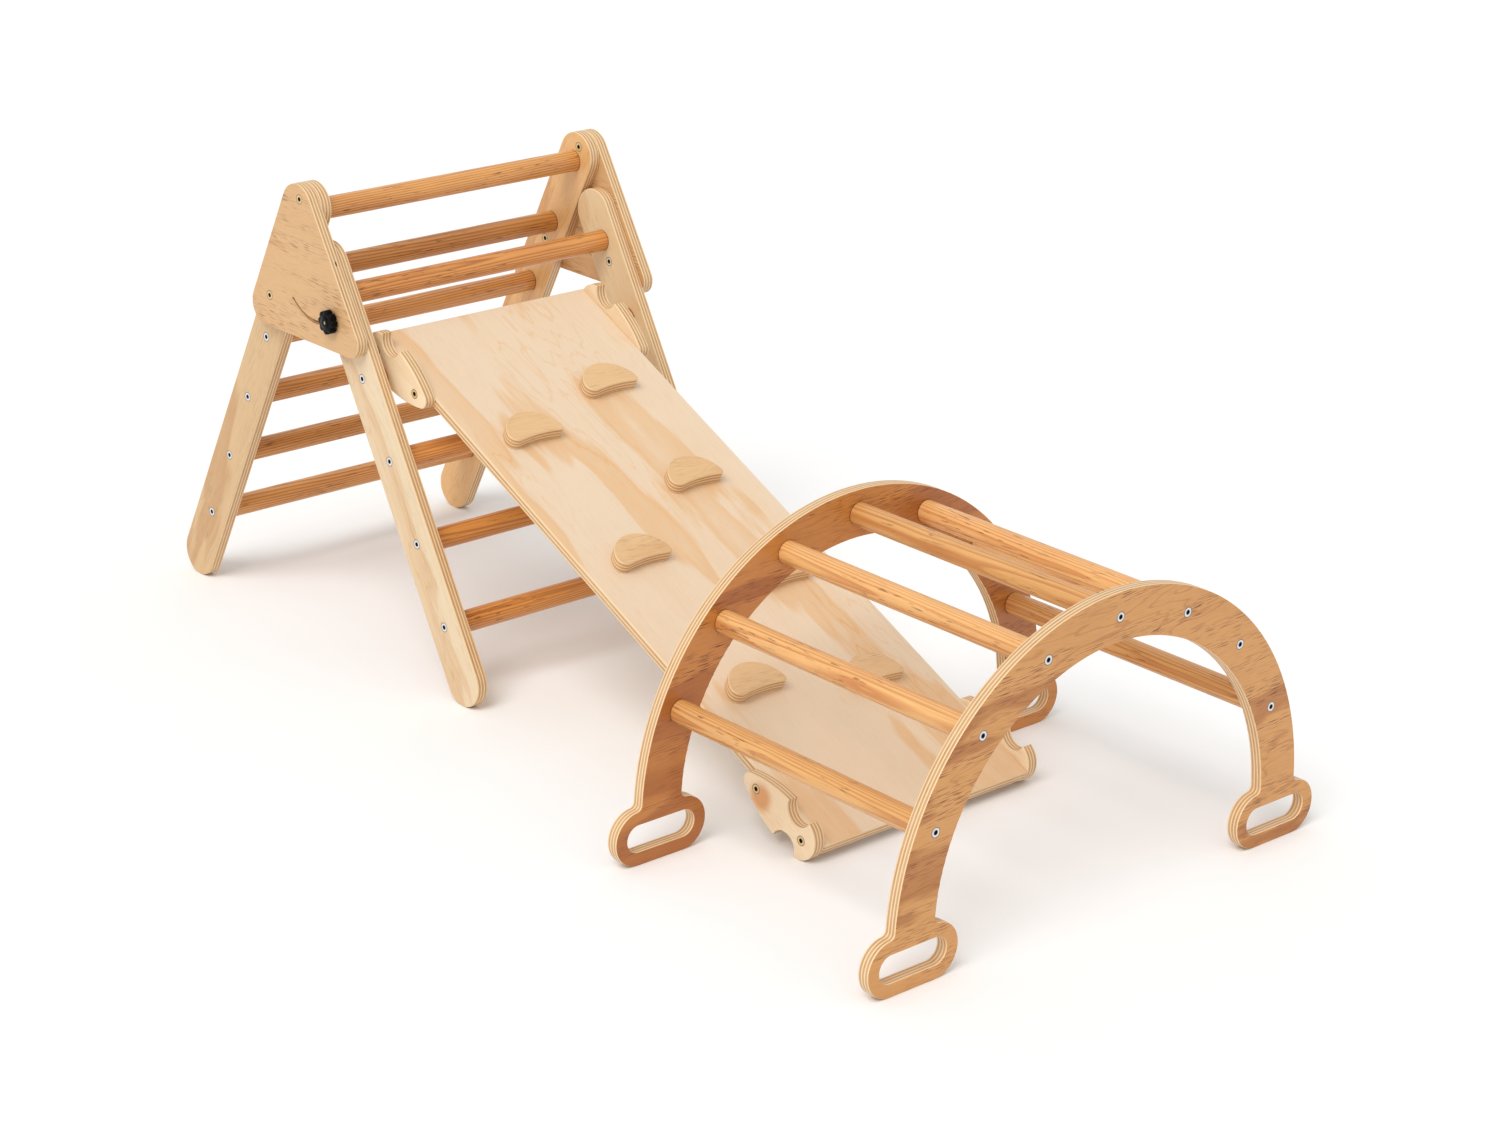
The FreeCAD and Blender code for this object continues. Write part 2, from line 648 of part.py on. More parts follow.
def bracket(label, words, side):
    """Leaf-shaped side bracket, with a rung notch in its upper and in its lower edge."""
    piece = new_body(label)
    profile = sketch_on(piece, "XZ_Plane")
    outline(profile, [(words.format("bracket_half"), "0", "bracket_half", "bracket_flank", 1),
                      (words.format("bracket_nose"), "0", "nose_round", "bracket_flank", 1)])
    pad(piece, profile, "ply", back=side > 0)
    round_faces(piece, AXIS_Y)
    notches = sketch_on(piece, "XZ_Plane")
    for height in ("notch_height", "-notch_height"):
        add_circle(notches, words.format("notch_place"), height, "notch_radius")
    pocket(piece, notches, "ply", back=side < 0)
    holes = sketch_on(piece, "XZ_Plane")
    seats = sketch_on(piece, "XZ_Plane", f"({-side}) * ply")
    for spot in ("end_bolt", "nose_bolt"):
        add_circle(holes, words.format(spot), "0", "shank_dia / 2 + bolt_gap")
        add_circle(seats, words.format(spot), "0", "head_dia / 2 + bolt_gap")
    pocket(piece, holes, "ply", back=side < 0)
    pocket(piece, seats, "head_thick", back=side > 0)
    on_ramp(piece, f"({side}) * board_side")


for end, words in BRACKETS.items():
    for name, side in SIDES.items():
        bracket(f"ramp_bracket_{end}_{name}", words, side)


def climbing_hold(label, x, y):
    """Plywood half moon: its round edge looks up the ramp, and its hollow one down it."""
    piece = new_body(label)
    profile = sketch_on(piece, "XY_Plane", "board_ply / 2")
    outline(profile, [(f"{x} + heel_down", f"{y} - heel_side", "hold_heel", "-hold_hollow", -1),
                      (f"{x} + tip_down", f"{y} + tip_side", "hold_tip", "hold_crown", 1)])
    pad(piece, profile, "ply")
    round_faces(piece, AXIS_Z)
    pilots = sketch_on(piece, "XY_Plane", "board_ply / 2")
    for way in (-1, 1):
        add_circle(pilots, x, f"{y} + ({way}) * screw_spread", "screw_dia / 2 + run_gap")
    pocket(piece, pilots, "screw_length - board_ply + 1", back=True)
    on_ramp(piece)


for number, (x, y) in enumerate(HOLDS, start=1):
    climbing_hold(f"climbing_hold_{number}", x, y)


def ramp_group(label, master, spots):
    """Group of equal solids drawn in the ramp's own frame, and turned with it."""
    flat = []
    for number, (x, y, z, axis, angle) in enumerate(spots, start=1):
        copy = doc.addObject("App::Link", f"{label}_{number}")
        copy.LinkedObject = master
        flat.append(place(copy, x, y, z, axis, angle))
    compound = doc.addObject("Part::Compound", label)
    compound.Label = label
    compound.Links = flat
    on_ramp(compound)


edge_spots = [(x, f"({side}) * {{0}}", "0", AXIS_X, str(-90 * side))
              for x in BOLT_SPOTS for side in SIDES.values()]
ramp_group("bracket_bolts", bracket_bolt,
           [(x, y.format("bracket_face"), z, axis, turn) for x, y, z, axis, turn in edge_spots])
ramp_group("bracket_inserts", insert,
           [(x, y.format("board_side"), z, axis, turn) for x, y, z, axis, turn in edge_spots])
ramp_group("hold_screws", hold_screw, [(x, y, "-board_ply / 2", AXIS_X, "180") for x, y in SCREWS])


# ---------------------------------------------------------------- arch
def arch_place(number):
    """Centre of a rung on the arch, counted from the near side: y and z."""
    turn = f"90 + ({4 - number}) * arch_step"
    return f"arch_radius * cos({turn})", f"arch_centre + arch_radius * sin({turn})"


ARCH_RUNGS = [arch_place(number) for number in range(1, 8)]


def arch_panel(label, x, outward):
    """Curved band on two feet, each with a hand loop.  It is drawn with its inner face at x = 0."""
    piece = new_body(label)
    profile = sketch_on(piece, "YZ_Plane")
    toe = "arch_radius + foot_half"
    heel = "arch_radius - foot_half"
    outline(profile, [(toe, "foot_round", "foot_round", "-ankle_round", -1),
                      ("0", "arch_centre", "arch_outside", "-ankle_round", -1),
                      (f"-({toe})", "foot_round", "foot_round", None, 0),
                      (f"-({heel})", "foot_round", "foot_round", "-ankle_round", 1),
                      ("0", "arch_centre", "-arch_inside", "-ankle_round", 1),
                      (heel, "foot_round", "foot_round", None, 0)])
    pad(piece, profile, "ply", back=outward < 0)
    loops = sketch_on(piece, "YZ_Plane")
    for near, far in ((heel, toe), (f"-({toe})", f"-({heel})")):
        outline(loops, [(near, "foot_round", "loop_round", None, 0),
                        (far, "foot_round", "loop_round", None, 0)])
    pocket(piece, loops, "ply", back=outward > 0)
    round_faces(piece, AXIS_X)
    sockets = sketch_on(piece, "YZ_Plane")
    holes = sketch_on(piece, "YZ_Plane")
    heads = sketch_on(piece, "YZ_Plane", f"({outward}) * ply")
    for y, z in ARCH_RUNGS:
        add_circle(sockets, y, z, "rung_dia / 2 + socket_gap")
        add_circle(holes, y, z, "shank_dia / 2 + bolt_gap")
        add_circle(heads, y, z, "head_dia / 2 + bolt_gap")
    pocket(piece, sockets, "socket_depth", back=outward > 0)
    pocket(piece, holes, "ply", back=outward > 0)
    pocket(piece, heads, "head_thick", back=outward < 0)
    keep(place(piece, x))


arch_panel("arch_panel_near_ramp", "arch_near_x + ply", -1)
arch_panel("arch_panel_far_end", "arch_far_x - ply", 1)
for number, (y, z) in enumerate(ARCH_RUNGS, start=1):
    rung(f"arch_rung_{number}", "YZ_Plane", "arch_rung", "arch_far_x - arch_length / 2", y, z)


def on_panels(inset):
    """Every rung's place on both panels, a distance in from the outer face, looking outwards."""
    return [(x, y, z, AXIS_Y, turn) for y, z in ARCH_RUNGS
            for x, turn in ((f"arch_near_x + {inset}", "-90"), (f"arch_far_x - {inset}", "90"))]


group("arch_rung_bolts", rung_bolt, on_panels("0"))
group("arch_rung_inserts", insert, on_panels("(ply - socket_depth)"))


# ---------------------------------------------------------------- check and write
doc.recompute()
for item in doc.Objects:
    if "Invalid" in item.State or "Error" in item.State:
        raise ValueError(f"{item.Name} failed: {item.State}")
os.makedirs("parts", exist_ok=True)
for piece in SUBPARTS:
    if piece.Shape.isNull() or not piece.Shape.isValid():
        raise ValueError(f"{piece.Label} has no valid shape")
    piece.Shape.exportStep(f"parts/{piece.Label}.step")
    print(piece.Label, len(piece.Shape.Solids), round(piece.Shape.Volume))
print(len(SUBPARTS), "sub-parts, ramp slope", round(value("ramp_slope"), 2))
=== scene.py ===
import math
import bmesh
import bpy
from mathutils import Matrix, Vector


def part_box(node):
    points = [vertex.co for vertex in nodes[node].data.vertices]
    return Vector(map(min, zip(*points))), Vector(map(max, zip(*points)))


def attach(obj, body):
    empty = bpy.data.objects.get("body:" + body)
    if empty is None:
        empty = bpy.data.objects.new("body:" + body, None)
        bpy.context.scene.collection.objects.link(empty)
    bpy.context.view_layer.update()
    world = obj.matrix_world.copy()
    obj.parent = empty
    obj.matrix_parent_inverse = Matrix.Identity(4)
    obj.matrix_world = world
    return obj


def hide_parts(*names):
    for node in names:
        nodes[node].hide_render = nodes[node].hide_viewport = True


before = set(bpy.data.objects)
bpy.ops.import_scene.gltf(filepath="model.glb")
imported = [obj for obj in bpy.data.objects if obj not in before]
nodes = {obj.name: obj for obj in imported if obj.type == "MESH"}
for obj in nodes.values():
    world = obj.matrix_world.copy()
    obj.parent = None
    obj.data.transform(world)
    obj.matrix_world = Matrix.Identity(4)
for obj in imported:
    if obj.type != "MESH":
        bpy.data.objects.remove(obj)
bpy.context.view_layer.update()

# ---------------------------------------------------------------- side rails of the triangle
# Four bars with round ends carry the triangle's rungs.  They are sawn from pine plywood of seven
# layers, and sealed with a clear satin varnish.


class Tone:
    """One socket of a finish.  Sums with it are written as sums, and each adds a Math node."""

    def __init__(self, tree, socket):
        self.tree = tree
        self.socket = socket

    def node(self, kind, settings, inputs, output=0):
        """Any node: its type, its settings, what goes into its sockets, and the output wanted."""
        made = self.tree.nodes.new(kind)
        for name, setting in settings.items():
            setattr(made, name, setting)
        for name, given in inputs.items():
            if isinstance(given, Tone):
                self.tree.links.new(given.socket, made.inputs[name])
            else:
                made.inputs[name].default_value = given
        return Tone(self.tree, made.outputs[output])

    def math(self, operation, *others):
        values = dict(enumerate((self, *others)))
        return self.node("ShaderNodeMath", {"operation": operation}, values)

    def __add__(self, other):
        return self.math("ADD", other)

    def __sub__(self, other):
        return self.math("SUBTRACT", other)

    def __mul__(self, other):
        return self.math("MULTIPLY", other)

    def __truediv__(self, other):
        return self.math("DIVIDE", other)

    def __rsub__(self, other):
        return self * -1 + other

    __radd__ = __add__

    def size(self):
        return self.math("ABSOLUTE")

    def floor(self):
        return self.math("FLOOR")

    def fraction(self):
        return self.math("FRACT")

    def distance(self, other):
        """Distance of a point, from how far off it is in two directions at right angles."""
        return (self * self + other * other).math("SQRT")

    def fade(self, start, end):
        """0 up to start, 1 from end on, and smooth between them."""
        ease = {"interpolation_type": "SMOOTHSTEP"}
        return self.node("ShaderNodeMapRange", ease, {0: self, 1: start, 2: end})

    def along(self, axis):
        """How far the point lies along an axis."""
        return self.node("ShaderNodeVectorMath", {"operation": "DOT_PRODUCT"},
                         {0: self, 1: axis}, 1)


def shade(red, green, blue):
    """Colour from 0 to 255 values as the eye sees them."""
    return (*((value / 255 + 0.055) ** 2.4 / 1.137 for value in (red, green, blue)), 1)


def darker(colour, share):
    """The same colour with each of its 0 to 255 values cut to a share."""
    return shade(*(value * share for value in colour))


def mix(amount, first, second):
    """Second colour laid over the first by an amount."""
    return amount.node("ShaderNodeMix", {"data_type": "RGBA"}, {0: amount, 6: first, 7: second}, 2)


def cloud(x, y, z, detail=2.0, rough=0.5):
    """Soft random pattern, from 0 to 1, with a new value about every unit of x, y and z."""
    place = x.node("ShaderNodeCombineXYZ", {}, {0: x, 1: y, 2: z})
    return x.node("ShaderNodeTexNoise", {"noise_dimensions": "3D"},
                  {"Vector": place, "Scale": 1.0, "Detail": detail, "Roughness": rough})


def dress(name, finish):
    """Give a piece its finish in every slot."""
    slots = nodes[name].data.materials
    for index in range(len(slots)):
        slots[index] = finish


def middle_of(name):
    low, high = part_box(name)
    return (low + high) / 2


def new_finish(name, middle=(0, 0, 0)):
    """New material, the shader at its end, and each point's place from a middle."""
    finish = bpy.data.materials.new(name)
    finish.use_nodes = True
    tree = finish.node_tree
    place = Tone(tree, tree.nodes.new("ShaderNodeTexCoord").outputs["Object"])
    point = place.node("ShaderNodeVectorMath", {"operation": "SUBTRACT"}, {0: place, 1: middle})
    return finish, tree.nodes["Principled BSDF"], point


def lay(tone, shader, name):
    tone.tree.links.new(tone.socket, shader.inputs[name])


def bump(relief, shader, strength, height):
    lay(relief.node("ShaderNodeBump", {},
                    {"Strength": strength, "Distance": height, "Height": relief}),
        shader, "Normal")


def varnish(shader, grain, roughness, height):
    """Clear satin varnish: it follows the grain, and is duller where the wood drinks it."""
    shader.inputs["Coat Weight"].default_value = 0.12
    shader.inputs["Coat Roughness"].default_value = 0.3
    lay((grain - 0.5) * 0.18 + roughness, shader, "Roughness")
    bump(grain, shader, 0.35, height)


CREAM_LAYER = shade(234, 204, 158)
BROWN_LAYER = shade(176, 114, 60)
GLUE = shade(128, 74, 36)
VOID = shade(58, 34, 20)
KNOT = shade(206, 132, 58)


def plywood(name, grain, through, thick, light, dark, figure, pores, seed, layers=7, knot=None):
    """Plywood piece: a rotary-cut face veneer, and crossed layers that show along sawn edges.

    The grain and the way through the sheet are directions.  Figure says how strong the veneer's
    broad honey-coloured markings are, and pores how many short dark pores it has.  A knot is the
    place of a brown stain, from the middle, and its radius.  Every pattern's scale is per metre.
    """
    grain = Vector(grain).normalized()
    through = Vector(through).normalized()
    finish, shader, point = new_finish(name, middle_of(name))
    length = point.along(grain)
    width = point.along(through.cross(grain))
    depth = point.along(through)

    # Face veneer: the knife runs through rings of growth at a shallow angle, so latewood shows as
    # long honey patches, feathered at one side, with thin lines round them like a map's contours.
    drift = cloud(length * 1.7 + seed, width * 9.0, seed, 4.0, 0.5)
    honey = drift.fade(0.5, 0.535) * (1 - drift.fade(0.54, 0.68) * 0.7)
    rings_crossed = 21.0
    ring = (drift * rings_crossed).fraction()
    some = cloud(length * 1.7, width * 6.0 + seed, 7.0, 1.0, 0.5).fade(0.5, 0.62)
    contour = (1 - (ring - 0.5).size().fade(0.0, 0.14)) * some
    blush = cloud(length * 5.0, width * 14.0 + seed * 2, 4.0, 3.0, 0.6)
    face = mix(honey * figure + contour * figure * 0.6 + (blush - 0.45) * 0.55,
               shade(*light), shade(*dark))

    # Fine fibres run all over it, and short dark pores stand in crowds.
    fibre = cloud(length * 16.0, width * 620.0 + seed, 0.0, 2.0, 0.6)
    vessel = cloud(length * 38.0 + seed, width * 980.0, 0.0, 1.0, 0.4)
    crowd = cloud(length * 3.0, width * 26.0 + seed, 9.0, 3.0, 0.6)
    pore = vessel.fade(0.55, 0.66) * (crowd.fade(0.44, 0.58) * 0.85 + 0.15) * pores
    face = mix((fibre - 0.5).size() * 0.55, face, darker(dark, 0.82))
    face = mix(pore, face, shade(dark[0] * 0.7, dark[1] * 0.58, dark[2] * 0.42))
    if knot:
        (start, level), reach = knot
        east = point.along((1, 0, 0)) - start
        north = point.along((0, 0, 1)) - level
        far = east.distance(north) + (blush - 0.5) * reach
        face = mix((1 - far.fade(reach * 0.35, reach)) * 0.75, face, KNOT)

    # Sawn edge: pale layers and browner crossed ones, with thin glue lines and a rare void.
    layer = (depth / thick + 0.5) * layers
    index = layer.floor()
    crossed = (index * 0.5).fraction().fade(0.2, 0.3)
    glue = (layer.fraction() - 0.5).size().fade(0.38, 0.49)
    streak = cloud(length * 24.0, width * 24.0, index * 7.3 + seed, 3.0, 0.65)
    saw = cloud(length * 420.0, width * 420.0, index * 3.1, 1.0, 0.5)
    gap = cloud(length * 34.0, width * 34.0, index * 5.7 + seed, 1.0, 0.3).fade(0.8, 0.82)
    edge = mix(crossed * (streak * 0.7 + 0.3) + (saw - 0.5) * 0.12, CREAM_LAYER, BROWN_LAYER)
    edge = mix(glue * 0.45, edge, GLUE)
    edge = mix(gap * crossed, edge, VOID)

    # The face veneer is about half a millimetre thick, and the edge shows below it.
    veneer = (depth.size() / thick).fade(0.498 - 0.0006 / thick, 0.499 - 0.0003 / thick)
    lay(mix(veneer, edge, face), shader, "Base Color")
    varnish(shader, saw + (fibre * (1 - pore * 0.6) - saw) * veneer, roughness=0.42, height=0.0004)
    dress(name, finish)


ACROSS = Vector((0, 1, 0))
SHEET = 0.018
RAIL_WIDTH = 0.072
for name, leg, light, dark, seed in (
        ("rear_rail_near", 1, (211, 176, 130), (188, 138, 86), 3.1),
        ("rear_rail_far", 1, (228, 180, 120), (200, 142, 82), 8.4),
        ("front_rail_near", -1, (226, 203, 168), (210, 168, 120), 8.8),
        ("front_rail_far", -1, (226, 198, 154), (212, 168, 116), 14.1)):
    low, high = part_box(name)
    lean = math.atan2(high.x - low.x - RAIL_WIDTH, high.z - low.z - RAIL_WIDTH)
    up_the_rail = (math.sin(lean) * leg, 0, math.cos(lean))
    plywood(name, up_the_rail, ACROSS, SHEET, light, dark, figure=0.6, pores=0.35, seed=seed)

# ---------------------------------------------------------------- gusset plates
# A plywood triangle on each side holds the top of the triangle together.  Its veneer is browner
# than the rails', and it runs level, with many short dark pores.
for side, seed in (("near", 1.3), ("far", 6.2)):
    plywood(f"gusset_plate_{side}", (1, 0, -0.05), ACROSS, SHEET,
            (212, 169, 118), (190, 135, 80), figure=0.5, pores=0.85, seed=seed)

# ---------------------------------------------------------------- rungs
# Pine dowels, turned and then varnished.  Growth rings run along each dowel as streaks, because
# the heart of the tree lies well outside it, and every dowel comes from another place in the log.
UP = Vector((0, 0, 1))
SOCKET_DEPTH = 0.004
RINGS_PER_METRE = 280.0


def dowel(name, axis, seed, pale, deep):
    """Pine dowel: rings about a slightly tilted heart outside it, short resin streaks, and a line
    of painted shade where it enters its sockets."""
    axis = Vector(axis)
    low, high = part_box(name)
    mouth = (high - low).dot(axis) / 2 - SOCKET_DEPTH
    finish, shader, point = new_finish(name, middle_of(name))
    length = point.along(axis)
    turn = seed * 2.399
    toward = axis.cross(UP).normalized() * math.cos(turn) + UP * math.sin(turn)
    away = point.along(toward)
    aside = point.along(axis.cross(toward))
    wander = cloud(length * 4.0 + seed, aside * 30.0, away * 30.0, 2.0, 0.5)
    heart = away + (0.022 + (seed % 3) * 0.012) + length * 0.012 + wander * 0.007
    ring = (heart.distance(aside) * RINGS_PER_METRE).fraction()
    latewood = ring.fade(0.3, 0.85) * (1 - ring.fade(0.88, 1.0))
    fibre = cloud(length * 9.0, aside * 430.0 + seed, away * 430.0, 2.0, 0.6)
    resin = cloud(length * 44.0, aside * 460.0, away * 460.0 + seed, 1.0, 0.4).fade(0.62, 0.72)
    crowd = cloud(length * 7.0 + seed, aside * 40.0, away * 40.0, 1.0, 0.5).fade(0.42, 0.62)
    tone = mix(latewood * 0.62 + (wander - 0.5) * 0.9, shade(*pale), shade(*deep))
    tone = mix((fibre - 0.5).size() * 1.1, tone, darker(deep, 0.82))
    tone = mix(resin * crowd * 0.7, tone, darker(deep, 0.55))
    # Painted shade: a dark ring near each end of the dowel, where the gap in its socket would be
    # shaded.
    socket_mouth_shade = length.size().fade(mouth - 0.0016, mouth - 0.0004)
    lay(mix(socket_mouth_shade * 0.8, tone, shade(70, 34, 16)), shader, "Base Color")
    varnish(shader, fibre * 0.5 + latewood * 0.5, roughness=0.34, height=0.0003)
    dress(name, finish)


for order, (group, count, axis, pale, deep) in enumerate((
        ("rear", 6, (0, 1, 0), (222, 158, 86), (154, 82, 30)),
        ("front", 5, (0, 1, 0), (226, 156, 82), (158, 80, 26)),
        ("arch", 7, (1, 0, 0), (232, 178, 112), (190, 112, 50)))):
    for number in range(1, count + 1):
        lift = 10 * math.sin(number * 2.3 + order)
        tones = [[part + lift for part in tone] for tone in (pale, deep)]
        dowel(f"{group}_rung_{number}", axis, 0.7 + number * 1.31 + order * 4.9, *tones)

# ---------------------------------------------------------------- ramp board
# One sheet of pale plywood of five layers, between the brackets.  Its veneer runs down the ramp, in
# broad cream and honey patches with few pores.
SLOPE = math.radians(25.4)
DOWN = Vector((math.cos(SLOPE), 0, -math.sin(SLOPE)))
OFF = Vector((math.sin(SLOPE), 0, math.cos(SLOPE)))
BOARD = 0.015
plywood("ramp_board", DOWN, OFF, BOARD, (230, 206, 176), (224, 176, 120),
        figure=0.62, pores=0.08, seed=2.2, layers=5)

# ---------------------------------------------------------------- ramp brackets
# Leaf-shaped plywood hooks, bolted to the board's edges.  One of them has an orange-brown patch
# where the veneer cuts through the foot of a branch.
for place, seed, knot in (("upper_near", 4.4, None), ("upper_far", 9.7, None),
                          ("lower_near", 5.4, ((-0.034, 0.018), 0.027)),
                          ("lower_far", 10.7, None)):
    plywood(f"ramp_bracket_{place}", DOWN, ACROSS, SHEET, (242, 219, 184), (226, 190, 144),
            figure=0.35, pores=0.25, seed=seed, knot=knot)

# ---------------------------------------------------------------- climbing holds
# Seven half moons, sawn from the same plywood as the rails with their grain across the ramp, and
# screwed on from below the board.
for number in range(1, 8):
    plywood(f"climbing_hold_{number}", ACROSS + DOWN * 0.12, OFF, SHEET,
            (224, 184, 134), (206, 154, 98), figure=0.4, pores=0.45, seed=number * 1.7)

# ---------------------------------------------------------------- arch panels
# Two curved plywood panels that stand on looped feet and hold the arch's rungs.  Their veneer is
# darker than the other pieces' and runs level across them, with many pores.
for name, light, dark, seed in (
        ("arch_panel_near_ramp", (200, 130, 60), (166, 94, 36), 5.5),
        ("arch_panel_far_end", (212, 152, 86), (172, 104, 42), 7.7)):
    plywood(name, (0, 1, 0.05), (1, 0, 0), SHEET, light, dark, figure=0.75, pores=1.0, seed=seed)

# ---------------------------------------------------------------- bolts, inserts and screws
# Bright zinc rung bolts and yellowish barrel bolts, pressed flush into the wood.  Each has a
# hexagon socket, painted black inside as shade, and a line of painted shade round its head.
SOCKET_RADIUS = 0.0034
RIM_RADIUS = 0.006
SAME_PLACE = 0.000001


def middles(name, axis):
    """Middle of each solid in a group, without its place along the axis."""
    mesh = bmesh.new()
    mesh.from_mesh(nodes[name].data)
    bmesh.ops.remove_doubles(mesh, verts=mesh.verts, dist=SAME_PLACE)
    todo = set(mesh.verts)
    found = set()
    while todo:
        waiting = [todo.pop()]
        island = []
        while waiting:
            vert = waiting.pop()
            island.append(vert.co)
            beside = {link.other_vert(vert) for link in vert.link_edges} & todo
            todo -= beside
            waiting += beside
        sides = [[place[way] for place in island] for way in range(3) if way != axis]
        found.add(tuple(round((min(side) + max(side)) / 2, 5) for side in sides))
    mesh.free()
    return sorted(found)


def axes(point):
    return [point.along(axis) for axis in ((1, 0, 0), (0, 1, 0), (0, 0, 1))]


def speckle(places, scale, detail, rough):
    return cloud(*(place * scale for place in places), detail, rough)


def plated(name, tint, roughness, heads=None, outwards=True):
    """Plated steel with fine turning marks.

    Heads is the number of the axis that a group of bolts lies along, and the distance of its
    heads' faces from the group's middle.  The sockets are painted black as shade, and each head has
    a line of painted shade round it, where the gap round the head would be dark.
    """
    finish, shader, point = new_finish(name)
    places = axes(point)
    bloom = speckle(places, 260.0, 3.0, 0.6)
    marks = speckle(places, 3000.0, 1.0, 0.5)
    metal = mix(bloom * 0.5, shade(*tint), darker(tint, 0.72))
    shine = bloom * 0.1 + 0.4
    if heads:
        axis, face = heads
        under = face - (places[axis] - middle_of(name)[axis]).size()
        if not outwards:
            under = under * -1
        first, second = [places[way] for way in range(3) if way != axis]
        offs = [(first - a).distance(second - b) for a, b in middles(name, axis)]
        off = offs[0]
        for other in offs[1:]:
            off = off.math("MINIMUM", other)
        # Painted shade: black over the hexagon socket and below the head's face, with no metal
        # shine, for the shade inside the recess.
        inside = 1 - off.fade(SOCKET_RADIUS - 0.0003, SOCKET_RADIUS + 0.0003)
        near_face = 1 - under.fade(0.003, 0.0035)
        socket = under.fade(0.0001, 0.0006).math("MAXIMUM", inside) * near_face
        # Painted shade: a dark brown line at the edge of each head, with no metal shine, where the
        # gap round the head would be shaded.
        rim_shade = off.fade(RIM_RADIUS - 0.0002, RIM_RADIUS + 0.0003)
        metal = mix(rim_shade * 0.85, metal, shade(84, 54, 30))
        metal = mix(socket, metal, shade(14, 12, 11))
        shine = shine * (1 - rim_shade.math("MAXIMUM", socket))
    lay(metal, shader, "Base Color")
    lay(shine, shader, "Metallic")
    lay(bloom * 0.2 + roughness + marks * 0.05, shader, "Roughness")
    return finish


ZINC = (236, 237, 239)
YELLOW = (240, 208, 146)
PALE_YELLOW = (238, 226, 196)
for name, tint, axis in (("rear_rung_bolts", ZINC, 1), ("front_rung_bolts", ZINC, 1),
                         ("arch_rung_bolts", ZINC, 0), ("gusset_bolts", YELLOW, 1),
                         ("bracket_bolts", YELLOW, 1)):
    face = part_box(name)[1][axis] - middle_of(name)[axis]
    dress(name, plated(name, tint, 0.25, heads=(axis, face)))
inner_face = middle_of("rear_rung_1").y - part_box("rear_rail_near")[1].y
for name, tint in (("gusset_barrel_nuts", YELLOW), ("clamp_bolts", PALE_YELLOW)):
    dress(name, plated(name, tint, 0.28, heads=(1, inner_face), outwards=False))
plain_zinc = plated("bright_zinc", ZINC, 0.25)
for name in ("fold_pivot_pins", "knob_washers", "hold_screws"):
    dress(name, plain_zinc)
plain_brass = plated("brass", (206, 170, 100), 0.3)
for name in ("bracket_inserts", "rear_rung_inserts", "front_rung_inserts", "arch_rung_inserts",
             "knob_bush_near", "knob_bush_far"):
    dress(name, plain_brass)

# ---------------------------------------------------------------- clamp knobs
# Moulded black star knobs with eight lobes, one on each side, screwed down to lock the fold.  The
# hub is domed, and the end of the clamp bolt shows in the hole through it.
LOBES = 8
LOBE_ROUND = 0.00525
LOBE_PLACE = 0.01275
HOLLOW = 0.0142
SHARPNESS = 2500
STEPS = 12 * LOBES
BUSH = 0.00506
# Rings of the mesh, from the back round to the seat of the bush: each has a radius, a share of
# the star's outline or in metres, and a share of the knob's thickness.
LOBED_RINGS = ((0.93, 0.0), (1.0, 0.08), (1.0, 0.3), (1.0, 0.72), (0.975, 0.86), (0.9, 0.94),
               (0.74, 0.96))
ROUND_RINGS = ((0.0082, 0.98), (0.0074, 1.04), (0.0052, 1.08), (0.0029, 1.08), (0.0026, 1.06),
               (0.0026, 1.02), (BUSH, 1.01), (BUSH, 0.5), (BUSH, 0.0))


def star_radius(angle):
    """Outline of the star: eight round lobes with a soft hollow between each two."""
    part = 2 * math.pi / LOBES
    off = (angle + part / 2) % part - part / 2
    side = LOBE_PLACE * math.sin(off)
    lobe = LOBE_PLACE * math.cos(off) + math.sqrt(LOBE_ROUND ** 2 - side ** 2)
    return math.log(math.exp(lobe * SHARPNESS) + math.exp(HOLLOW * SHARPNESS)) / SHARPNESS


def star_knob(name, low, high, outward):
    """Closed ring of a mesh: back, lobed side, shoulder, domed hub, hole, and seat of the bush."""
    centre = (low + high) / 2
    back = low.y if outward > 0 else high.y
    thick = high.y - low.y
    angles = [2 * math.pi * step / STEPS for step in range(STEPS)]
    outline = [([star_radius(angle) * share for angle in angles], height)
               for share, height in LOBED_RINGS]
    outline += [([radius] * STEPS, height) for radius, height in ROUND_RINGS]
    knob = bmesh.new()
    rings = [[knob.verts.new((centre.x + radius * math.cos(angle),
                              back + outward * height * thick,
                              centre.z + radius * math.sin(angle)))
              for angle, radius in zip(angles, radii)] for radii, height in outline]
    for index, ring in enumerate(rings):
        after = rings[(index + 1) % len(rings)]
        for step in range(STEPS):
            over = (step + 1) % STEPS
            knob.faces.new((ring[step], ring[over], after[over], after[step]))
    bmesh.ops.recalc_face_normals(knob, faces=knob.faces)
    for face in knob.faces:
        face.smooth = True
    mesh = bpy.data.meshes.new(name)
    knob.to_mesh(mesh)
    knob.free()
    piece = bpy.data.objects.new(name, mesh)
    bpy.context.scene.collection.objects.link(piece)
    return piece


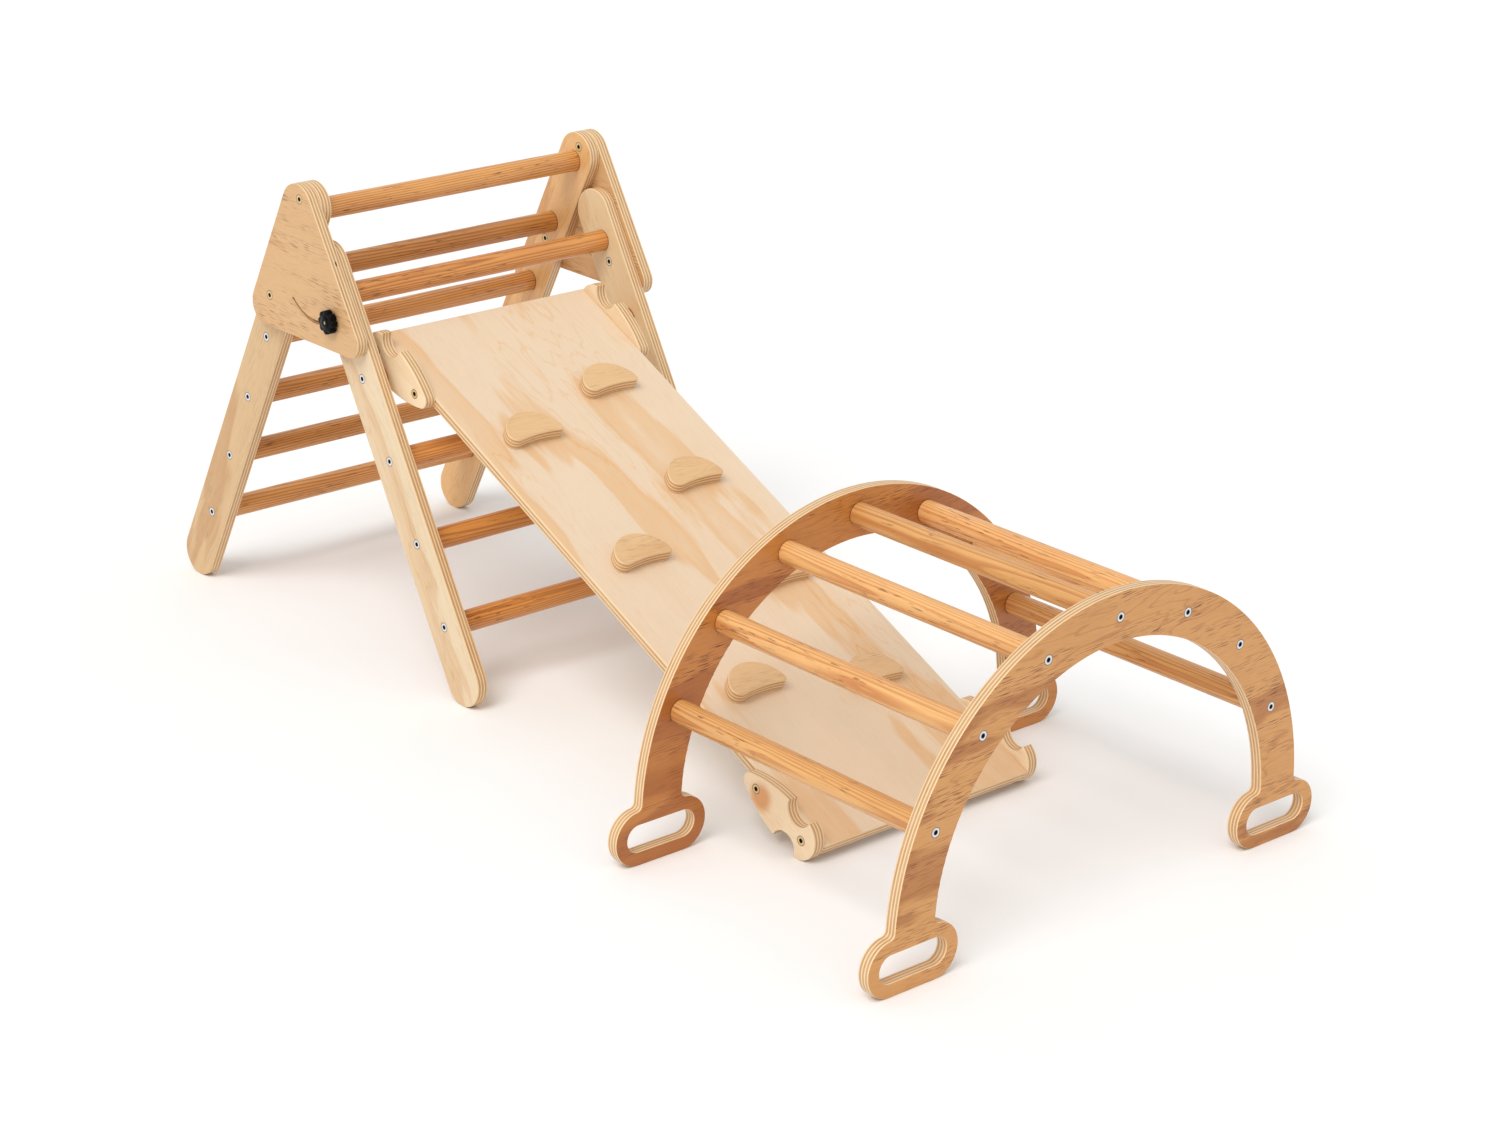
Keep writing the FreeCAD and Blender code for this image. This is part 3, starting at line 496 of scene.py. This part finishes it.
plastic, shader, point = new_finish("black_knob_plastic")
wear = speckle(axes(point), 300.0, 3.0, 0.6)
lay(mix(wear * 0.5, shade(6, 6, 7), shade(16, 16, 17)), shader, "Base Color")
lay(wear * 0.12 + 0.14, shader, "Roughness")
shader.inputs["Specular IOR Level"].default_value = 0.08
bump(speckle(axes(point), 2600.0, 2.0, 0.6), shader, 0.12, 0.0002)
for side, outward in (("near", -1), ("far", 1)):
    knob = star_knob(f"star_knob_{side}", *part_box(f"knob_{side}"), outward)
    knob.data.materials.append(plastic)
    dress(f"knob_{side}", plastic)
    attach(knob, f"{side}_knob")
    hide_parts(f"knob_{side}")

# ---------------------------------------------------------------- floor, light and camera
# Plain pale studio floor under an even white sky, with one broad soft light from the front left.
# The camera stands off the set's far end, a little above it, with a long lens.
bpy.ops.mesh.primitive_plane_add(size=60, location=(0, 0, 0))
floor = bpy.context.object
floor.name = "studio_floor"
ground, shader, point = new_finish("pale_floor")
east, north, up = axes(point)
dust = cloud(east * 3.0, north * 3.0, up)
lay(mix(dust, shade(244, 244, 243), shade(249, 249, 248)), shader, "Base Color")
shader.inputs["Roughness"].default_value = 0.9
floor.data.materials.append(ground)

world = bpy.data.worlds.new("studio")
world.use_nodes = True
sky = world.node_tree.nodes["Background"]
sky.inputs["Color"].default_value = (1.0, 1.0, 1.0, 1)
sky.inputs["Strength"].default_value = 0.74
bpy.context.scene.world = world
lamp = bpy.data.lights.new("key", "SUN")
lamp.energy = 1.65
lamp.angle = math.radians(34)
holder = bpy.data.objects.new("key", lamp)
holder.rotation_euler = Vector((1.2, -3.4, 4.6)).to_track_quat("Z", "Y").to_euler()
bpy.context.scene.collection.objects.link(holder)

camera = bpy.data.objects.new("camera", bpy.data.cameras.new("camera"))
camera.location = (3.530, -3.052, 1.991)
camera.rotation_euler = (math.radians(69.158), math.radians(-1.458), math.radians(48.172))
camera.data.sensor_width = 36
camera.data.lens = 85.06
camera.data.clip_end = 100
bpy.context.scene.collection.objects.link(camera)
bpy.context.scene.camera = camera
bpy.context.scene.view_settings.view_transform = "Standard"
